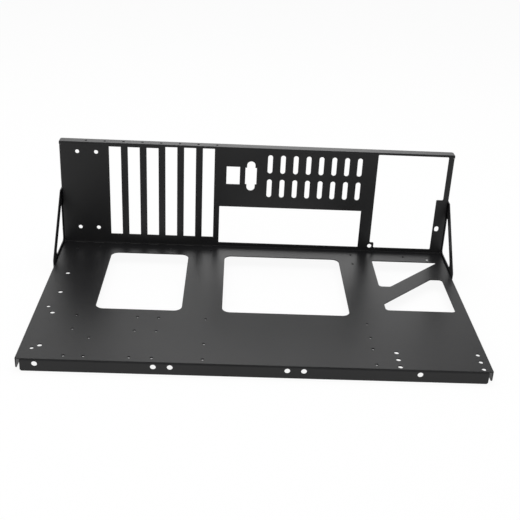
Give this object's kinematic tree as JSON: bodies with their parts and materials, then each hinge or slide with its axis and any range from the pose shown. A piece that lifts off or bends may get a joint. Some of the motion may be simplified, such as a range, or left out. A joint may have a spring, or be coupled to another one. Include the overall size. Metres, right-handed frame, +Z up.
{
  "type": "motherboard tray",
  "caption": "Folded steel motherboard tray: a base with windows and board-fixing holes, and an upright back panel with card slots, port, vent and power-supply openings.",
  "frame": {"origin": "middle of the footprint, on the surface that the flanges stand on", "axes": "+X to the right as seen from the open front, +Y towards the back panel, +Z up"},
  "size_m": [0.432, 0.26, 0.13],
  "materials": {
    "powder_coat": "semi-gloss black powder coat"
  },
  "bodies": {
    "root": {"tray_sheet": "powder_coat", "gusset_left": "powder_coat", "gusset_right": "powder_coat"}
  },
  "joints": []
}
